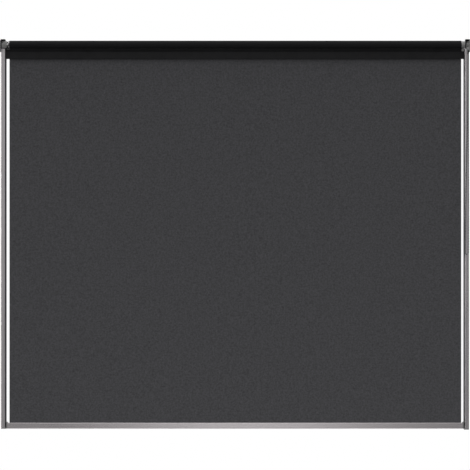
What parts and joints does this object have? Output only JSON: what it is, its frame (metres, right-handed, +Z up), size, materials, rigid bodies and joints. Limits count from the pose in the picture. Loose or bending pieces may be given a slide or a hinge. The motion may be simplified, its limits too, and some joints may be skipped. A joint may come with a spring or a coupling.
{
  "type": "roller blind",
  "caption": "Guided roller blind: chain-driven fabric roll above a dark head bar, channel guides down both sides, fabric drop and weighted bottom rail.",
  "frame": {"origin": "on the wall plane, at the carrier rail's back face, behind the middle of the roller's axis", "axes": "+X right along the roller, +Y back into the wall, +Z up; the front of the blind faces -Y"},
  "size_m": [1.8088, 0.046, 1.5006],
  "materials": {
    "anodised_aluminium": "satin anodised",
    "rail_aluminium": "satin anodised",
    "black_paint": "fine powder coat",
    "grey_plastic": "satin moulded",
    "dark_plastic": "matt moulded",
    "seal_pile": "short dense pile",
    "blind_fabric": "fine plain weave",
    "fabric_backing": "black coated back",
    "zinc_steel": "zinc plated",
    "bead_chain": "smooth grey beads on a cord"
  },
  "bodies": {
    "frame": {"carrier_rail": "anodised_aluminium", "head_bar": "black_paint", "head_bar_plug_left": "dark_plastic", "head_bar_plug_right": "dark_plastic", "bracket_left": "black_paint", "bracket_right": "black_paint", "bracket_screw_left_1": "zinc_steel", "bracket_screw_left_2": "zinc_steel", "bracket_screw_right_1": "zinc_steel", "bracket_screw_right_2": "zinc_steel", "end_plate_left": "grey_plastic", "end_plate_right": "grey_plastic", "axis_screw_left": "zinc_steel", "axis_screw_right": "zinc_steel", "key_screw_left": "zinc_steel", "key_screw_right": "zinc_steel", "guide_left": "anodised_aluminium", "guide_right": "anodised_aluminium", "seal_strip_left": "seal_pile", "seal_strip_right": "seal_pile", "foot_plug_left": "grey_plastic", "foot_plug_right": "grey_plastic", "guide_key_left": "dark_plastic", "guide_key_right": "dark_plastic", "guide_screw_left_1": "zinc_steel", "guide_screw_left_2": "zinc_steel", "guide_screw_left_3": "zinc_steel", "guide_screw_right_1": "zinc_steel", "guide_screw_right_2": "zinc_steel", "guide_screw_right_3": "zinc_steel", "clutch_core": "dark_plastic", "chain_guard": "grey_plastic", "bar_clip": "grey_plastic", "idle_housing": "grey_plastic", "fabric_drop": "blind_fabric", "chain_front_strand": "bead_chain", "chain_bend": "bead_chain", "chain_rear_strand": "bead_chain", "chain_over_sprocket": "bead_chain", "chain_connector": "dark_plastic"},
    "roller": {"roller_tube": "anodised_aluminium", "tube_spline": "dark_plastic", "fabric_roll": "fabric_backing", "drive_plug": "grey_plastic", "idle_plug": "dark_plastic", "idle_spring": "zinc_steel"},
    "chain_wheel": {"sprocket": "dark_plastic", "wrap_spring": "zinc_steel"},
    "idle_pin": {"idle_pin": "zinc_steel"},
    "bottom_rail": {"bottom_rail": "rail_aluminium", "weight_bar": "zinc_steel", "hem_spline": "dark_plastic", "end_cap_left": "grey_plastic", "end_cap_right": "grey_plastic", "guide_shoe_left": "dark_plastic", "guide_shoe_right": "dark_plastic", "shoe_screw_left": "zinc_steel", "shoe_screw_right": "zinc_steel"}
  },
  "joints": [
    {"name": "rail_lift", "type": "slide", "parent": "frame", "child": "bottom_rail", "axis": [0, 0, 1], "range_m": [0, 1.392], "deforming": ["fabric_drop"]},
    {"name": "roller_spin", "type": "hinge", "parent": "frame", "child": "roller", "pos_m": [0, -0.0266, 0], "axis": [1, 0, 0], "range_deg": [0, 4680]},
    {"name": "chain_wheel_spin", "type": "hinge", "parent": "frame", "child": "chain_wheel", "pos_m": [0.896, -0.0266, 0], "axis": [1, 0, 0], "range_deg": [0, 4680]},
    {"name": "idle_pin_press", "type": "slide", "parent": "roller", "child": "idle_pin", "axis": [1, 0, 0], "range_m": [0, 0.01], "stiffness_N_per_m": 400, "springref_m": -0.02, "deforming": ["idle_spring"]}
  ],
  "couplings": [
    {"joint": "roller_spin", "follows": "rail_lift", "rad_per_m": 58.679},
    {"joint": "chain_wheel_spin", "follows": "rail_lift", "rad_per_m": 58.679}
  ]
}
